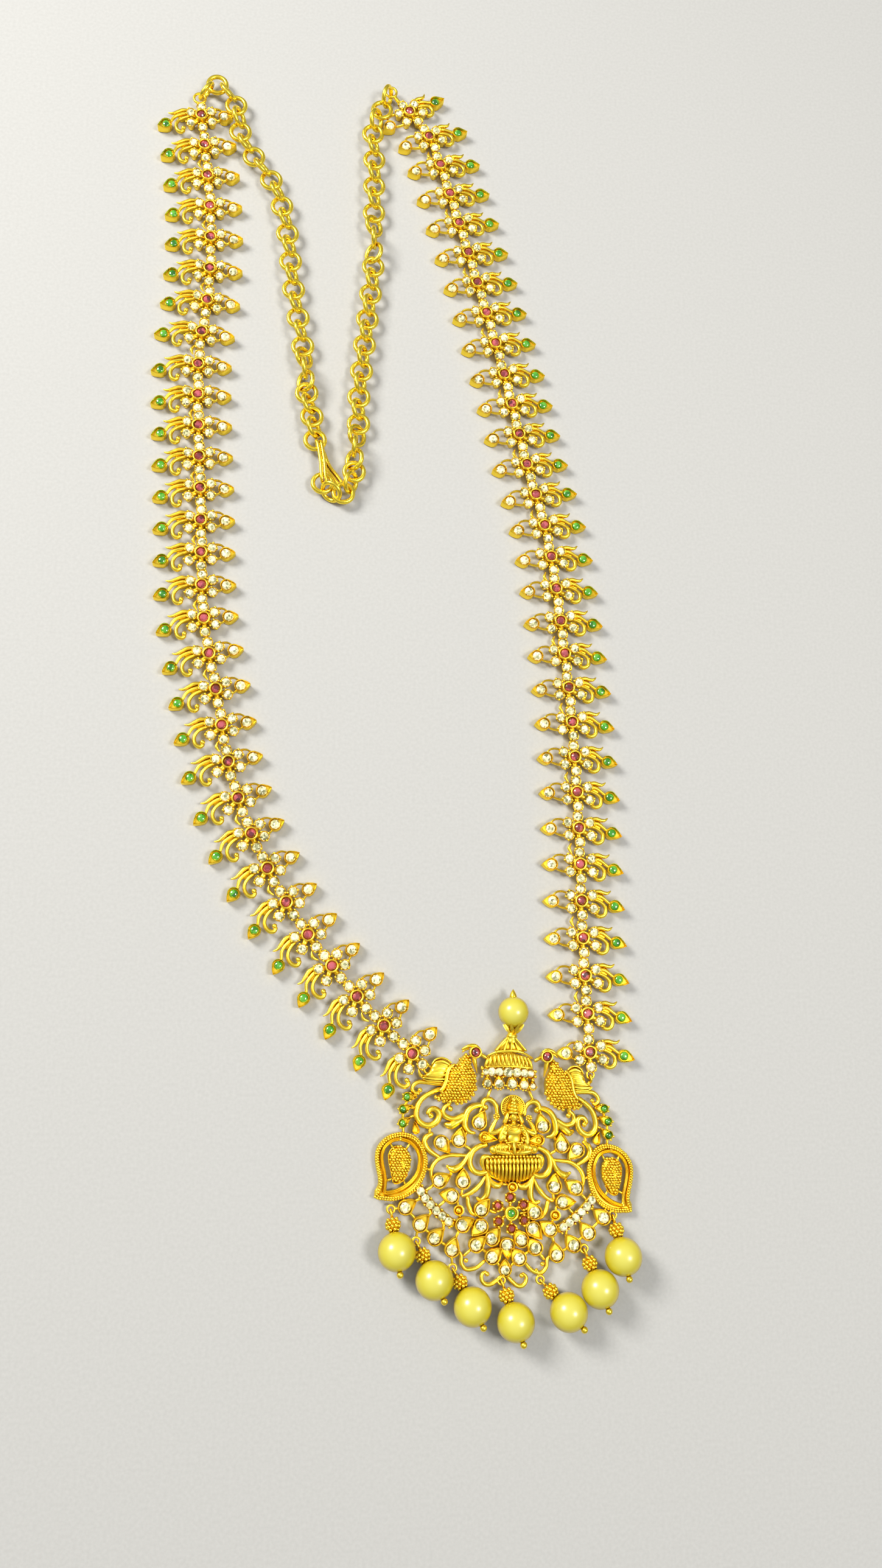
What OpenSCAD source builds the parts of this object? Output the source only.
// Long temple necklace lying flat: two runs of flower motifs, an openwork pendant with
// pearl drops, and a back chain of round rings folded inward to a wire hook.
// Millimetres. +Y runs from the pendant to the top of the loop, +Z up, the back on z = 0.

/* [Pearls] */
// Diameter of each hanging pearl
pearl_d = 7.5; // [7:0.1:7.6]
// Diameter of the pearl on top of the crown
top_pearl_d = 6.3; // [6:0.1:6.3]
// Diameter of the headpin that carries a pearl
pin_d = 0.7; // [0.6:0.05:0.75]
// Diameter of the granulated bead cluster above each pearl
cluster_d = 2.8; // [2.4:0.1:2.8]

/* [Chain motifs] */
// Motifs in each run of the chain
motifs_per_run = 30; // [28:1:30]
// Diameter of the setting of the middle stone
ruby_setting_d = 2.9; // [2.6:0.1:3]
// Diameter of each of the six small settings
side_setting_d = 2.1; // [1.9:0.05:2.15]
// Distance from the middle stone to each small setting
side_setting_r = 2.65; // [2.6:0.05:2.7]
// Width of a leaf setting
leaf_w = 2.8; // [2.4:0.1:2.9]
// Length of a leaf setting from its round back to its tip
leaf_l = 3.3; // [3:0.1:3.5]
// Thickness of the cast frame of a motif
frame_t = 1.3; // [1:0.1:1.4]
// Height of the settings above the back
setting_h = 2.3; // [2:0.1:2.5]

/* [Back chain] */
// Outside diameter of each chain ring
ring_d = 5.4; // [5.3:0.05:5.4]
// Wire diameter of the rings
ring_wire = 1.05; // [1:0.05:1.05]
// Wire diameter of the hook
hook_wire = 0.65; // [0.5:0.05:0.7]

/* [Pendant] */
// Thickness of the pendant's openwork
plate_t = 1.6; // [1.4:0.1:1.8]
// Width of the scroll stems
stem_w = 1.05; // [0.9:0.05:1.2]
// How wide the right half is beside the left
right_squeeze = 0.92; // [0.92:0.01:1]
// How far the right half drops for each millimetre outward
right_drop = 0.12; // [0:0.02:0.12]

/* [Hidden] */
$fn = 48;

// Distances that bring the middle of the whole outline to the origin
middle_x = -27.66;
middle_y = 101.29;

// Routes as hand-picked points from the middle of the pendant's figure, [x, y]
left_route = [[-71.5, 231], [-68.5, 206], [-68, 185], [-69.5, 165], [-67.5, 130],
              [-66, 107], [-62.5, 89], [-57.5, 67], [-47, 45], [-32, 25.5], [-20, 13.5]];
right_route = [[-22, 237], [-17, 230], [-12, 214.5], [-5.5, 191], [0.5, 168], [5.5, 145.5],
               [9.5, 130], [12, 113], [14.5, 86], [15.5, 62], [15.8, 38], [16.7, 14]];
left_chain_route = [[-70.6, 237.4], [-67.6, 240], [-63.2, 234], [-62, 226.5], [-58.2, 220],
                    [-54, 214], [-51.6, 207], [-50.3, 200], [-48.6, 186], [-46.2, 172],
                    [-45, 160], [-43.6, 154], [-42.9, 148.8]];
right_chain_route = [[-27.45, 240.4], [-28.7, 237], [-30.7, 231], [-30.4, 223], [-30.3, 208],
                     [-30.3, 194], [-31.5, 180], [-33.2, 160], [-33.2, 153], [-34, 147],
                     [-34, 141.5], [-35.6, 137], [-38.3, 135.8], [-41, 138.4]];

// Distance of a motif along its run, [motif number, distance]
left_spread = [[0, 0], [8, 65.5], [16, 126], [29, 231]];
right_spread = [[0, 0], [9, 73], [18, 142], [29, 228.5]];

// Distance of a ring along its back chain, [ring number, distance]
left_ring_spread = [[0, 0], [21, 77], [29, 100.6]];
right_ring_spread = [[0, 0], [15, 54.2], [25, 87.7], [33, 111.46]];

// First and last motif of each solid along a run
run_groups = [[0, 7], [8, 14], [15, 21], [22, motifs_per_run - 1]];
run_count = len(run_groups);

// Drops from left to right, [pearl x, pearl y, lean of the pin to the left in degrees]
drops = [[-23.2, -24.1, 8], [-15.8, -29.5, 26], [-8.3, -34.5, 28], [0.2, -37.5, 18],
         [10.8, -35.9, 42], [17.2, -31.8, 19], [22.1, -25.8, 10]];
drop_count = len(drops);

gold = [0.83, 0.66, 0.12];
pearl_cream = [0.92, 0.88, 0.55];

// Smooth route through points, and places along it

function bend(a, b, c, d, t) =
    0.5 * (2 * b + (c - a) * t + (2 * a - 5 * b + 4 * c - d) * t * t
           + (3 * b - a - 3 * c + d) * t * t * t);

function curve(p, steps) =
    let (last = len(p) - 1)
    [for (i = [0 : last - 1])
         for (k = [0 : steps - 1])
             bend(p[max(i - 1, 0)], p[i], p[i + 1], p[min(i + 2, last)], k / steps),
     p[last]];

function running_length(p, i = 0, sum = 0) =
    i == len(p) - 1
        ? [sum]
        : concat([sum], running_length(p, i + 1, sum + norm(p[i + 1] - p[i])));

function column(rows, c) = [for (r = rows) r[c]];

function pairs(a, b) = [for (i = [0 : len(a) - 1]) [a[i], b[i]]];

route_steps = 8;
left_line = curve(left_route, route_steps);
right_line = curve(right_route, route_steps);
left_length = running_length(left_line);
right_length = running_length(right_line);
left_chain_line = curve(left_chain_route, route_steps);
right_chain_line = curve(right_chain_route, route_steps);
left_chain_length = running_length(left_chain_line);
right_chain_length = running_length(right_chain_line);

function place_on(line, lengths, s) = [
    lookup(s, pairs(lengths, column(line, 0))),
    lookup(s, pairs(lengths, column(line, 1)))
];

// Turn that sends local -Y down the run
function heading_on(line, lengths, s) =
    let (d = place_on(line, lengths, s + 1.5) - place_on(line, lengths, s - 1.5))
    atan2(d[1], d[0]) + 90;

function run_line(side) = side < 0 ? left_line : right_line;
function run_lengths(side) = side < 0 ? left_length : right_length;
function run_spread(side) = side < 0 ? left_spread : right_spread;

module at_motif(side, i) {
    s = lookup(i, run_spread(side));
    translate(place_on(run_line(side), run_lengths(side), s))
        rotate(heading_on(run_line(side), run_lengths(side), s))
            mirror([side < 0 ? 1 : 0, 0])
                children();
}

// Flat shapes shared by the motifs and the pendant

// Twice the area inside a closed line, negative where it runs clockwise
function turning(p, i = 0, sum = 0) =
    i == len(p)
        ? sum
        : let (q = p[(i + 1) % len(p)])
          turning(p, i + 1, sum + p[i][0] * q[1] - p[i][1] * q[0]);

module outline(points) {
    last = len(points) - 1;
    polygon(turning(points) > 0 ? points : [for (i = [last : -1 : 0]) points[i]]);
}

// A drop outline with its round back at the origin and its tip along +X
module leaf(width, reach) {
    r = width / 2;
    open = acos(r / reach);
    turns = 9;
    outline(concat(
        [[reach, 0]],
        [for (k = [0 : turns]) r * [cos(open + k * (360 - 2 * open) / turns),
                                    sin(open + k * (360 - 2 * open) / turns)]]
    ));
}

// A stem along a smooth line through points, narrowing from w0 to w1
module stem(points, w0, w1, steps = 3) {
    p = curve(points, steps);
    last = len(p) - 1;
    side_of = [for (i = [0 : last])
        let (d = p[min(i + 1, last)] - p[max(i - 1, 0)])
        [-d[1], d[0]] / norm(d)];
    half = [for (i = [0 : last]) (w0 + (w1 - w0) * i / last) / 2];
    outline(concat(
        [for (i = [0 : last]) p[i] + side_of[i] * half[i]],
        [for (i = [last : -1 : 0]) p[i] - side_of[i] * half[i]]
    ));
}

module spot(x, y, d) {
    translate([x, y])
        circle(d = d);
}

module bar(a, b, w) {
    d = b - a;
    translate(a)
        rotate(atan2(d[1], d[0]))
            translate([0, -w / 2])
                square([norm(d), w]);
}

// Motif, drawn with +X outward and +Y up the run

// Reach of the leaf settings from the middle stone, inner and outer
function inner_reach(side, i) = side < 0 ? 5.3 : i < motifs_per_run - 1 ? 6.05 : 4.9;
function outer_reach(side) = side < 0 ? 8.5 : 7.3;

// How far outward the six small settings stand from the middle stone's axis
function setting_shift(side) = side < 0 ? 0.15 : 0.3;

side_angles = [90, 270, 32, -36, 148, 216];
green_turn = -10;
bar_w = 0.8;

function ray(r, a) = r * [cos(a), sin(a)];
function setting_at(side, a) = ray(side_setting_r, a) + [setting_shift(side), 0];

module motif_frame(side, i) {
    inner = inner_reach(side, i);
    outer = outer_reach(side);
    leaf_place = ray(outer, green_turn);
    spot(0, 0, ruby_setting_d + 0.2);
    for (a = side_angles) {
        translate(setting_at(side, a))
            circle(d = side_setting_d + 0.1);
        bar([0, 0], setting_at(side, a), bar_w);
    }
    translate([-inner, 0])
        rotate(180)
            leaf(leaf_w, leaf_l - leaf_w / 2);
    stem([[-inner + 0.2, 1.2], [-inner + 1.6, 2.1], [-2.3, 1.6]], 0.7, 0.8);
    stem([[-inner + 0.8, -0.9], [-3.9, -1.4], [-2.6, -1.5]], 0.6, 0.7);
    translate(leaf_place)
        rotate(green_turn - 14)
            leaf(leaf_w, leaf_l - leaf_w / 2);
    stem([[2.4, 1.5], [outer - 3, 1.9], [outer - 1, 1.4], [outer - 0.3, 1.9]], 1, 0.4);
    stem([[2.4, 0.9], [outer - 3.4, 0.9], [outer - 0.9, -0.9]], 1.1, 0.7);
    stem([[1.2, 0.1], [3.6, 0.1], [outer - 2.2, -1.3], [outer - 2.3, -3.1], [4, -3.6],
          [3.2, -2.7]], 0.9, 0.9);
    spot(3.2, -2.7, 1.3);
}

module motif_tops(side, i) {
    for (a = side_angles)
        translate(setting_at(side, a))
            circle(d = side_setting_d - 0.2);
    translate([-inner_reach(side, i), 0])
        rotate(180)
            leaf(leaf_w - 0.3, leaf_l - leaf_w / 2 - 0.3);
    translate(ray(outer_reach(side), green_turn))
        rotate(green_turn - 14)
            leaf(leaf_w - 0.3, leaf_l - leaf_w / 2 - 0.3);
}

// Joints at the ends of a run
end_eye_r = 1.35;
end_eye_wire = 0.6;
function end_eye_y(side) = side < 0 ? 4.9 : 7;
small_eye_r = 0.75;
small_eye_wire = 0.5;
small_eye_y = 4.55;
link_z = 1.3;
ring_flat_z = 1.9;

module eye(r, wire) {
    rotate_extrude()
        translate([r, 0])
            circle(d = wire, $fn = 24);
}

module run(side, group) {
    first = run_groups[group][0];
    last = run_groups[group][1];
    linear_extrude(frame_t) {
        for (i = [first : last])
            at_motif(side, i)
                motif_frame(side, i);
        for (i = [first : last - 1])
            bar(
                place_on(run_line(side), run_lengths(side), lookup(i, run_spread(side)) + 3),
                place_on(run_line(side), run_lengths(side), lookup(i + 1, run_spread(side)) - 3),
                0.9
            );
    }
    translate([0, 0, frame_t - 0.3])
        linear_extrude(setting_h - frame_t + 0.3)
            for (i = [first : last])
                at_motif(side, i)
                    motif_tops(side, i);
    for (i = [first : last])
        at_motif_3d(side, i)
            translate([0, 0, frame_t - 0.3])
                cylinder(d = ruby_setting_d, h = setting_h + 0.6 - frame_t);
    if (first == 0)
        at_motif_3d(side, 0) {
            translate([0, end_eye_y(side), ring_flat_z])
                eye(end_eye_r, end_eye_wire);
            translate([-0.5, side_setting_r + 0.3, frame_t - 0.2])
                cube([1, end_eye_y(side) - end_eye_r - side_setting_r - 0.3, setting_h - 1.4]);
        }
    if (last == motifs_per_run - 1)
        at_motif_3d(side, last) {
            translate([0, -small_eye_y, link_z])
                eye(small_eye_r, small_eye_wire);
            translate([-0.4, -small_eye_y + small_eye_r - 0.1, link_z - 0.2])
                cube([0.8, 1, 0.4]);
        }
}

module at_motif_3d(side, i) {
    s = lookup(i, run_spread(side));
    translate(concat(place_on(run_line(side), run_lengths(side), s), [0]))
        rotate(heading_on(run_line(side), run_lengths(side), s))
            children();
}

// Back chain: rings lie flat and stand tilted by turns, the first one steepest

ring_mid_r = (ring_d - ring_wire) / 2;
first_lean = 75;
edge_lean = 60;
function ring_lean(i) = i == 0 ? first_lean : i % 2 == 0 ? edge_lean : 0;
function ring_z(i) =
    i % 2 == 0 ? ring_mid_r * sin(ring_lean(i)) + ring_wire / 2 : ring_flat_z;

module ring() {
    rotate_extrude()
        translate([ring_mid_r, 0])
            circle(d = ring_wire, $fn = 24);
}

module back_chain(line, lengths, spread) {
    for (i = [0 : spread[len(spread) - 1][0]]) {
        s = lookup(i, spread);
        translate(concat(place_on(line, lengths, s), [ring_z(i)]))
            rotate(heading_on(line, lengths, s))
                rotate([0, ring_lean(i), 0])
                    ring();
    }
}

// Hook: one wire laid double and bent to a hairpin through the last ring of the left chain.
// Its middle line from the front tip to the back end, [x, y, z, side the two wires lie to]
hook_rows = [[-40.6, 138.5, 2.2, -14], [-40.8, 139.4, 2.95, -14], [-41.1, 143, 2.9, -14],
             [-41.75, 147, 2.95, -14], [-42.1, 148.2, 2.6, -12], [-42.15, 148.5, 1.75, -5],
             [-41.9, 148, 0.75, 5], [-41.3, 146.6, 0.5, 15], [-39.9, 143.2, 0.5, 31],
             [-38.2, 140.9, 0.5, 40], [-37, 139.2, 0.6, 35]];
hook_gap = 0.42;

function unit(v) = v / norm(v);

function beside(row, s) = [row[0], row[1], row[2]] + s * hook_gap * [cos(row[3]), sin(row[3]), 0];

// Down one side of the hook, round its front tip and back along the other side
hook_path =
    let (last = len(hook_rows) - 1, tip = beside(hook_rows[0], 0))
    concat(
        [for (i = [last : -1 : 0]) beside(hook_rows[i], -1)],
        [tip + hook_gap * unit(tip - beside(hook_rows[1], 0))],
        [for (row = hook_rows) beside(row, 1)]
    );

function direction(p, i) = unit(p[min(i + 1, len(p) - 1)] - p[max(i - 1, 0)]);

// A vector carried along a line, square to it all the way
function carried(p, v, i = 0) =
    i == len(p)
        ? []
        : let (t = direction(p, i), w = unit(v - (v * t) * t))
          concat([w], carried(p, w, i + 1));

module wire_tube(points, d, sides = 8) {
    p = curve(points, 2);
    across = carried(p, [0, 0, 1]);
    last = len(p) - 1;
    rings = [for (i = [0 : last])
        let (a = across[i], b = cross(direction(p, i), a))
        for (k = [0 : sides - 1])
            p[i] + d / 2 * (cos(k * 360 / sides) * a + sin(k * 360 / sides) * b)];
    walls = [for (i = [0 : last - 1])
        for (k = [0 : sides - 1])
            [i * sides + k, (i + 1) * sides + k,
             (i + 1) * sides + (k + 1) % sides, i * sides + (k + 1) % sides]];
    polyhedron(
        points = rings,
        faces = concat(
            walls,
            [[for (k = [0 : sides - 1]) k]],
            [[for (k = [sides - 1 : -1 : 0]) last * sides + k]]
        )
    );
}

module clasp_hook() {
    color(gold)
        to_middle()
            wire_tube(hook_path, hook_wire);
}

// Pearl drops

loop_reach = 7;
loop_slope = atan((pearl_d / 2 - link_z) / loop_reach);
loop_far = norm([loop_reach, pearl_d / 2 - link_z]);
cluster_place = pearl_d / 2 + cluster_d / 2 + 0.05;
head_d = 1.2;
head_place = -(pearl_d / 2 + 0.45);
bore_gap = 0.25;

module at_drop(i) {
    translate([drops[i][0], drops[i][1], pearl_d / 2])
        rotate(drops[i][2])
            rotate([-loop_slope, 0, 0])
                children();
}

module along_y(y0, y1, d) {
    translate([0, y0, 0])
        rotate([-90, 0, 0])
            cylinder(d = d, h = y1 - y0);
}

module drop_pearl(i) {
    color(pearl_cream)
        to_middle()
            at_drop(i)
                difference() {
                    sphere(d = pearl_d);
                    along_y(-pearl_d, pearl_d, pin_d + bore_gap);
                }
}

module drop_pin(i) {
    color(gold)
        to_middle()
            at_drop(i) {
                along_y(head_place, loop_far - small_eye_r, pin_d);
                translate([0, head_place, 0])
                    sphere(d = head_d);
                translate([0, cluster_place, 0])
                    sphere(d = cluster_d);
                translate([0, loop_far, 0])
                    rotate([0, 90, 0])
                        eye(small_eye_r, small_eye_wire);
            }
}

// Pendant. Half places are [outward, up]; the right half is a little narrower and lower,
// and the lower part of the axis leans to the left.

function lean(v) = v > -10 ? 0 : 0.075 * (v + 10);

// How far the right half stands outward beside the figure
function nudge(p) =
    0.8 * lookup(p[0], [[1, 0], [4, 1], [12, 1], [20, 0]]) * lookup(p[1], [[-10, 0], [-5, 1]]);

function spot_at(side, p) = side < 0
    ? [-p[0] + lean(p[1]), p[1]]
    : [right_squeeze * p[0] + nudge(p) + lean(p[1]), p[1] - right_drop * p[0]];

function line_at(side, points) = [for (p = points) spot_at(side, p)];

function turn_at(side, a) = side < 0 ? 180 - a : a - atan(right_drop);

// Leaf settings on each half, [outward, up, tip direction]
half_leaves = [
    [20.9, -16.1, 148], [17.7, -19.4, 132], [14.6, -22, 133], [11, -24.2, 108],
    [5.6, -16.7, 128], [5.5, -19.9, -42], [9.2, -19.6, 152], [3.1, -22.2, 128],
    [6.2, -23.4, 140], [2.8, -25.7, 138], [14.5, -11.1, 155], [9.7, -11.3, 92],
    [11.8, -14.1, 10], [14.2, -3.8, -130], [10.6, -3.3, 102], [6.4, 0.1, 113]
];
middle_leaves = [[-1, -23.6, -90], [-1.4, -28.2, 90]];
pendant_leaf_w = 2.7;
pendant_leaf_reach = 2.3;

// Scroll stems on each half, each a line of [outward, up] points
half_stems = [
    [[13.6, 6.7], [16.2, 6], [18.7, 4], [19.2, 1.3], [17.5, -0.4], [15.2, 0.2], [14.7, 2.2],
     [16.4, 2.4]],
    [[13, 7.7], [15.4, 7.9], [18.8, 8.1], [20.1, 6.7], [18.8, 5.9]],
    [[12.7, 4.6], [12.6, 3.7], [13.8, 2.3], [12.6, 1], [10.4, 1.2], [9.2, 1.8]],
    [[5.2, 3.2], [6.6, 3.5], [7.9, 3.1], [8.8, 2.2], [9.3, 0.9], [9.3, -0.6], [8.5, -1.7], [7.3, -2]],
    [[9.1, 1.7], [10.1, 0.6], [11.2, 0.1], [13.3, -0.2]],
    [[5.7, 3.2], [5, 4.6], [3.3, 4], [2.7, 1.7], [2.9, 0]],
    [[4.9, -4.3], [6.4, -4.6], [7.7, -5.5], [8.3, -6.9], [8.3, -8.2], [7.5, -9.4], [6.2, -9.8],
     [4.6, -9.4]],
    [[7.3, -5.1], [9.5, -7.6], [11.7, -9], [12.9, -8.6]],
    [[8.4, -6.2], [10.4, -6.3], [12.6, -6.3], [15.7, -8], [16.2, -9.3], [15.6, -10.8]],
    [[16.5, -1], [17.6, -3.6], [15.9, -5.8], [14, -6.9]],
    [[5.1, -9.3], [4.5, -12.4], [5.2, -14.8], [6.5, -14.7]],
    [[5.2, -10.4], [6.9, -12.8], [9.6, -14.2], [11, -14.2]],
    [[4.7, -10.3], [3.2, -12.1], [1.4, -11.8], [0, -12]],
    [[9.2, -13.8], [8.2, -16], [6.6, -17.8]],
    [[9.8, -24.2], [8.9, -26.8], [6.8, -28], [4.3, -26.2]],
    [[3.9, -28.5], [4.6, -30], [2.8, -30.9], [0.4, -29.2]],
    [[21, 4.6], [22, 2.6], [21.9, 0], [21.6, -2.4]],
    [[18.6, 5.8], [21.1, 5.2]],
    [[19.2, 2.6], [22, 2.8]],
    [[5.6, -2.8], [3.6, -3]]
];

// Round bosses on each half, [outward, up, diameter, height above the back]
half_bosses = [
    [21.1, 5.2, 2.1, 2.4], [21.9, 2.8, 2.1, 2.4], [22, 0.1, 2.1, 2.4], [19.3, -1.6, 1.9, 2.2],
    [10.2, -16.8, 1.8, 2.2], [5.4, -2.8, 2.2, 2.4], [16.3, 1.7, 1.4, 2], [18.5, 6.3, 1.4, 2],
    [3.6, -28.9, 1.3, 2], [8.2, -26.2, 1.3, 2], [6.4, -14.5, 1.1, 2], [12.3, 3, 1.3, 2],
    [5, 3, 1.4, 2.2]
];

// Bird on each half, [outward, up, diameter, height of the dome over the openwork]
bird_domes = [
    [7.5, 13.9, 3.7, 1.8], [9, 11, 3.8, 1.9], [10.6, 7.7, 7.2, 2.6], [12.2, 5.2, 3.4, 1.4],
    [13.7, 10.2, 3.7, 1]
];
bird_stems = [
    [[6.3, 13.2], [6.7, 12.2], [7.6, 9.8]],
    [[11, 12.2], [13.2, 12.6], [14.9, 11.8], [15.5, 10.2]],
    [[12, 8.4], [15, 8], [17.4, 8.3]]
];

paisley_outer = [[22.5, -1.9], [25, -2.4], [26.9, -4.1], [27.4, -6.7], [27, -9.6],
                 [26.7, -12], [27.3, -14.5], [25, -14.6], [22, -14.1], [19.5, -12.7],
                 [17.8, -10.4], [17.2, -8], [17.5, -5.2], [18.7, -3.1], [20.5, -2.1]];
paisley_window = [[22.5, -3.6], [24.4, -4], [25.5, -5.3], [25.8, -7.2], [25.3, -10],
                  [25.2, -12.8], [22.8, -12.5], [20.7, -11.2], [19.4, -9], [19, -6.6],
                  [19.7, -4.7], [21, -3.8]];
paisley_heart = [[22.5, -4.5], [24.1, -5.1], [24.5, -7.2], [24.2, -9.4], [23.5, -11.3],
                 [22, -11], [20.6, -8.8], [20.4, -6.2], [21.3, -4.8]];

pave_points = [[18.4, -12.7], [16.3, -16.5], [12.2, -19.2]];
flower_at = [-0.15, -17.45];
flower_r = 3;
petal_d = 2.1;
flower_petals = 6;
figure_x = 0.3;

// Stones that hang side by side under the crown
hanging_stones = [-4.8, -2.4, 0, 2.3, 4.25];
hanging_y = 7.2;

module dome(d, h) {
    r = (d * d / 4 + h * h) / (2 * h);
    intersection() {
        translate([0, 0, h - r])
            sphere(r = r);
        translate([-d, -d, -0.4])
            cube([2 * d, 2 * d, h + 1]);
    }
}

module half_plan(side) {
    for (f = half_leaves)
        translate(spot_at(side, f))
            rotate(turn_at(side, f[2]))
                leaf(pendant_leaf_w + 0.3, pendant_leaf_reach + 0.2);
    for (s = half_stems)
        stem(line_at(side, s), stem_w, stem_w * 0.75);
    for (s = bird_stems)
        stem(line_at(side, s), 1.3, 0.8);
    for (b = half_bosses)
        translate(spot_at(side, b))
            circle(d = b[2] + 0.1);
    for (b = bird_domes)
        translate(spot_at(side, b))
            circle(d = b[2] + 0.1);
    difference() {
        outline(line_at(side, paisley_outer));
        outline(line_at(side, paisley_window));
    }
    outline(line_at(side, paisley_heart));
    stem(line_at(side, [[24, -5.4], [26.2, -4.2]]), 0.6, 0.6);
    stem(line_at(side, [[21, -5.4], [19.2, -4.2]]), 0.6, 0.6);
    stem(line_at(side, [[24, -9.4], [26, -11.2]]), 0.6, 0.6);
    stem(line_at(side, pave_points), 1.9, 1.9);
}

module crown_plan() {
    outline([[-1.3, 18.8], [1.3, 18.8], [1.3, 16.8], [3.4, 14.1], [6.1, 13.2], [5.9, 9],
             [-5.9, 9], [-6.1, 13.2], [-3.4, 14.1], [-1.3, 16.8]]);
    for (x = hanging_stones)
        spot(x, hanging_y, 2);
    for (x = hanging_stones)
        bar([x, 9.4], [x, 7], 0.7);
    bar([-4.9, 7], [-5.3, 4.2], 0.8);
    bar([4.4, 7], [4.9, 3.6], 0.8);
}

module figure_plan() {
    spot(figure_x, 2.9, 5.2);
    spot(figure_x, -0.6, 5.4);
    spot(figure_x, -3.2, 7.4);
    bar([-5.6, -2.8], [5.4, -3.4], 1.2);
    outline([[-5.9, -5.2], [6.4, -5.2], [6.4, -7.6], [5, -9.6], [2.4, -10.6], [-1.8, -10.6],
             [-4.4, -9.6], [-5.9, -7.6]]);
    bar([0.1, -10], [-0.4, -15], 1.2);
    spot(0, -11.9, 1.6);
}

module flower_plan() {
    translate(flower_at) {
        circle(d = 3.4);
        for (k = [0 : flower_petals - 1]) {
            translate(ray(flower_r, 92 + k * 360 / flower_petals))
                circle(d = petal_d);
            bar([0, 0], ray(flower_r, 92 + k * 360 / flower_petals), 0.9);
        }
    }
}

// Lower frame that ties the leaf settings together
half_ties = [
    [[20.9, -16.1], [17.7, -19.4]], [[17.7, -19.4], [14.6, -22]], [[14.6, -22], [11, -24.2]],
    [[20.9, -16.1], [21.8, -13.6]], [[17.7, -19.4], [15.4, -16.6]], [[14.6, -22], [13, -18.4]],
    [[11, -24.2], [9.2, -19.6]], [[9.2, -19.6], [12.2, -19]], [[5.5, -19.9], [9.2, -19.6]],
    [[5.6, -16.7], [5.5, -19.9]], [[5.6, -16.7], [2.6, -17.4]], [[5.5, -19.9], [2, -18.9]],
    [[3.1, -22.2], [5.5, -19.9]], [[3.1, -22.2], [0.3, -20]], [[6.2, -23.4], [5.5, -19.9]],
    [[6.2, -23.4], [3.1, -22.2]], [[2.8, -25.7], [6.2, -23.4]], [[2.8, -25.7], [0.2, -24]],
    [[2.8, -25.7], [0.2, -27.8]], [[3.1, -22.2], [0.2, -23.4]], [[6.2, -23.4], [9.8, -24.4]],
    [[14.5, -11.1], [16.8, -9]], [[14.5, -11.1], [17.6, -13.2]], [[9.7, -11.3], [9.6, -14.2]],
    [[9.7, -11.3], [12, -8.9]], [[11.8, -14.1], [14.6, -16.4]], [[11.8, -14.1], [10.2, -16.8]],
    [[11.8, -14.1], [9.6, -14.2]], [[10.2, -16.8], [9.2, -19.6]], [[14.2, -3.8], [16.9, -4.9]],
    [[14.2, -3.8], [10.6, -3.3]], [[10.6, -3.3], [8, -5.6]], [[12.4, -3.6], [12.8, -6.4]],
    [[10.6, -3.3], [9, -1.4]], [[6.4, 0.1], [5.6, 3.4]], [[16.4, -0.6], [19.3, -1.6]],
    [[15.7, -9.3], [17.6, -9]], [[13.8, 2.3], [14.9, 1.6]], [[19.3, -1.6], [19.8, -3.2]],
    [[17.5, -3.2], [18.6, -4]]
];

// Where the stalk of each drop's eye meets the openwork, [x, y]
stalk_ends = [[-21.6, -16.2], [-18.9, -19.6], [-12.2, -24.6], [-1.4, -28.6],
              [4.9, -28.2], [12.8, -23.7], [18.4, -18]];

function drop_eye_at(i) =
    [drops[i][0], drops[i][1]] + (loop_reach + small_eye_r) * [-sin(drops[i][2]), cos(drops[i][2])];

function run_end(side) =
    let (s = lookup(motifs_per_run - 1, run_spread(side)),
         h = heading_on(run_line(side), run_lengths(side), s))
    place_on(run_line(side), run_lengths(side), s)
        + (small_eye_y + small_eye_r) * [sin(h), -cos(h)];

run_stalk_ends = [[-15, 9.6], [15.9, 6.1]];

module eye_stalks() {
    for (i = [0 : drop_count - 1]) {
        toward = unit(stalk_ends[i] - drop_eye_at(i));
        difference() {
            union() {
                translate(drop_eye_at(i))
                    circle(r = small_eye_r + small_eye_wire / 2);
                bar(drop_eye_at(i) + toward * 0.6, stalk_ends[i], 0.7);
            }
            translate(drop_eye_at(i))
                circle(r = small_eye_r - small_eye_wire / 2);
        }
    }
}

module run_loop(k) {
    side = k == 0 ? -1 : 1;
    s = lookup(motifs_per_run - 1, run_spread(side));
    toward = unit(run_stalk_ends[k] - run_end(side));
    translate(concat(run_end(side), [link_z]))
        rotate(heading_on(run_line(side), run_lengths(side), s))
            rotate([0, 90, 0])
                eye(small_eye_r, small_eye_wire);
    translate([0, 0, link_z - 0.35])
        linear_extrude(0.7)
            bar(run_end(side) + toward * 0.65, run_stalk_ends[k], 1);
}

module pendant_plan() {
    for (side = [-1, 1]) {
        half_plan(side);
        for (t = half_ties)
            bar(spot_at(side, t[0]), spot_at(side, t[1]), 0.8);
    }
    for (f = middle_leaves)
        translate([f[0], f[1]])
            rotate(f[2])
                leaf(pendant_leaf_w + 0.2, pendant_leaf_reach + 0.2);
    crown_plan();
    figure_plan();
    flower_plan();
}

module pendant() {
    color(gold)
        to_middle() {
            linear_extrude(plate_t)
                difference() {
                    pendant_plan();
                    for (i = [0 : drop_count - 1])
                        translate(drop_eye_at(i))
                            circle(r = small_eye_r - small_eye_wire / 2);
                }
            pendant_tops();
            pendant_relief();
            crown_finial();
            translate([0, 0, link_z - 0.25])
                linear_extrude(0.5)
                    eye_stalks();
            for (k = [0, 1])
                run_loop(k);
        }
}

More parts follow.
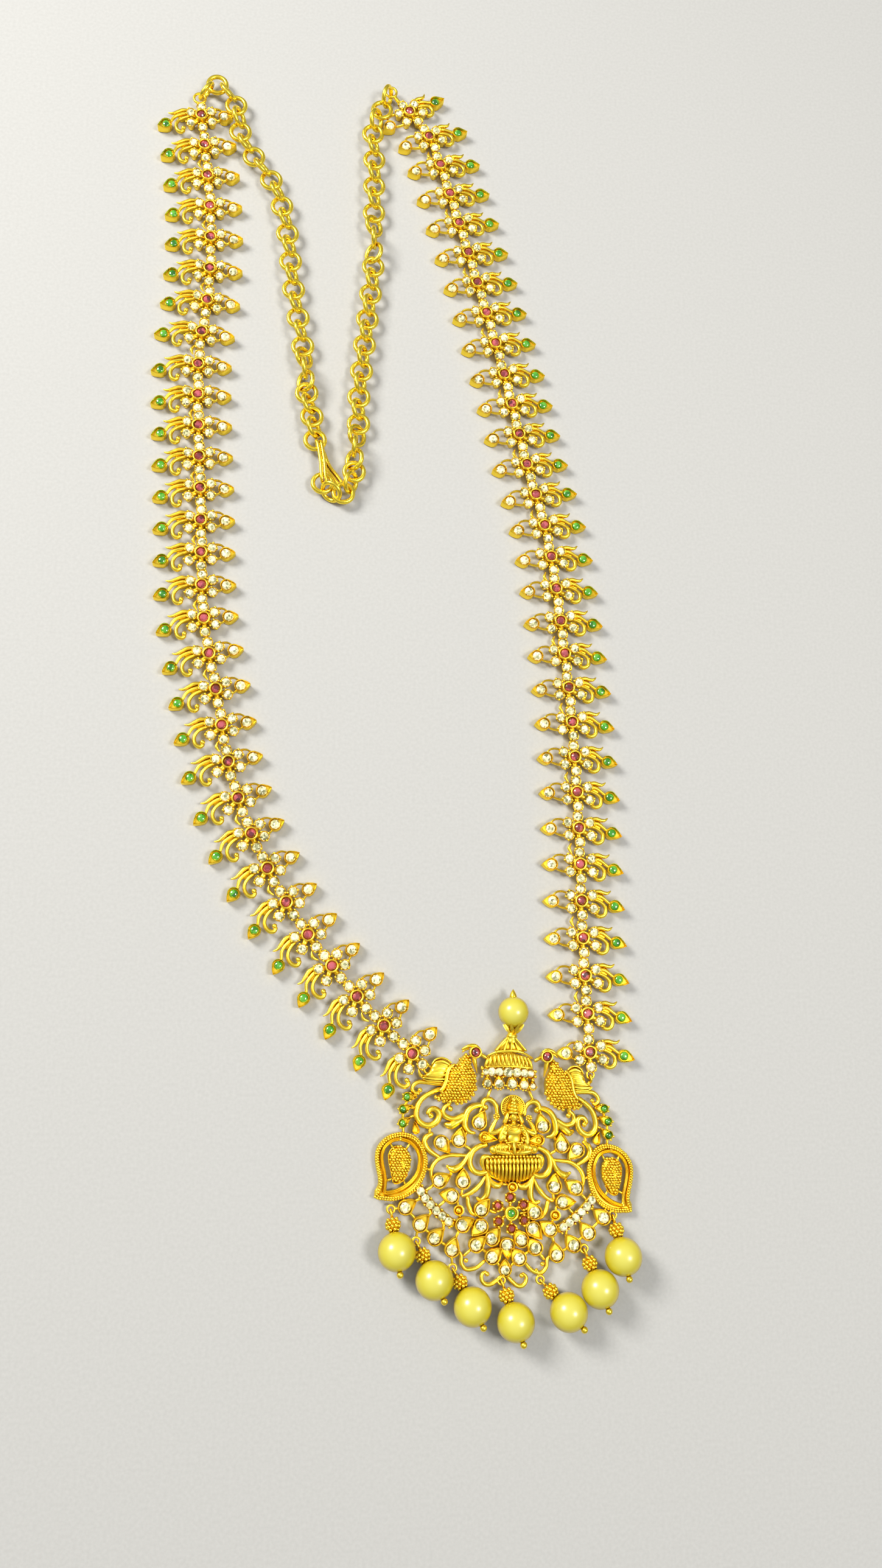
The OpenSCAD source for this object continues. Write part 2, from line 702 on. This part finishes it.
// Raised settings, over the openwork
module pendant_tops() {
    translate([0, 0, plate_t - 0.3])
        linear_extrude(1.2) {
            for (side = [-1, 1])
                for (f = half_leaves)
                    translate(spot_at(side, f))
                        rotate(turn_at(side, f[2]))
                            leaf(pendant_leaf_w - 0.3, pendant_leaf_reach - 0.3);
            for (f = middle_leaves)
                translate([f[0], f[1]])
                    rotate(f[2])
                        leaf(pendant_leaf_w - 0.3, pendant_leaf_reach - 0.3);
            translate(flower_at)
                for (k = [0 : flower_petals - 1])
                    translate(ray(flower_r, 92 + k * 360 / flower_petals))
                        circle(d = petal_d - 0.2);
            for (x = hanging_stones)
                spot(x, hanging_y, 1.8);
            translate([-5.3, 9.4])
                square([10.6, 1.5]);
        }
    translate([flower_at[0], flower_at[1], plate_t - 0.3])
        cylinder(d = 3, h = 1.6);
    for (side = [-1, 1])
        for (b = half_bosses)
            translate(concat(spot_at(side, b), [plate_t - 0.3]))
                cylinder(d = b[2] - 0.1, h = b[3] - plate_t + 0.3);
}

module pendant_relief() {
    for (side = [-1, 1])
        for (b = bird_domes)
            translate(concat(spot_at(side, b), [plate_t]))
                dome(b[2], b[3]);
    translate([figure_x, 2.9, plate_t])
        dome(4.8, 0.9);
    translate([figure_x, 1.6, plate_t + 1])
        sphere(d = 2.5);
    translate([figure_x, -1.1, plate_t])
        dome(4.4, 2.2);
    translate([figure_x, -3.6, plate_t])
        dome(6.6, 1.9);
    translate([figure_x, -7.6, plate_t])
        dome(7.4, 1.5);
}

// Round neck, petal collar and the post that carries the top pearl
top_pearl_at = [0.6, 22.1];
post_z = top_pearl_d / 2;

module crown_finial() {
    collar_top = top_pearl_at[1] - top_pearl_d / 2 - 0.15;
    translate([0, 0, post_z - 0.6])
        along_y(16.2, collar_top - 0.2, 2.3);
    translate([0.1, 0, post_z - 0.2])
        along_y(collar_top - 0.8, collar_top, 3.5);
    translate([top_pearl_at[0], 0, post_z]) {
        along_y(17.6, top_pearl_at[1] + top_pearl_d / 2 + 0.5, pin_d);
        translate([0, top_pearl_at[1] + top_pearl_d / 2 + 0.45, 0])
            sphere(d = head_d - 0.1);
    }
    translate([0, 12, plate_t])
        dome(6.4, 1.6);
    for (x = [-3.6, 3.6])
        translate([x, 11.6, plate_t])
            dome(4, 1.1);
}

module top_pearl() {
    color(pearl_cream)
        to_middle()
            translate([top_pearl_at[0], top_pearl_at[1], post_z])
                difference() {
                    sphere(d = top_pearl_d);
                    along_y(-top_pearl_d, top_pearl_d, pin_d + bore_gap);
                }
}

module to_middle() {
    translate([-middle_x, -middle_y, 0])
        children();
}

module left_run(group) {
    color(gold)
        to_middle()
            run(-1, group);
}

module right_run(group) {
    color(gold)
        to_middle()
            run(1, group);
}

module left_back_chain() {
    color(gold)
        to_middle()
            back_chain(left_chain_line, left_chain_length, left_ring_spread);
}

module right_back_chain() {
    color(gold)
        to_middle()
            back_chain(right_chain_line, right_chain_length, right_ring_spread);
}

pendant();
top_pearl();
for (i = [0 : run_count - 1]) {
    left_run(i);
    right_run(i);
}
left_back_chain();
right_back_chain();
clasp_hook();
for (i = [0 : drop_count - 1]) {
    drop_pearl(i);
    drop_pin(i);
}
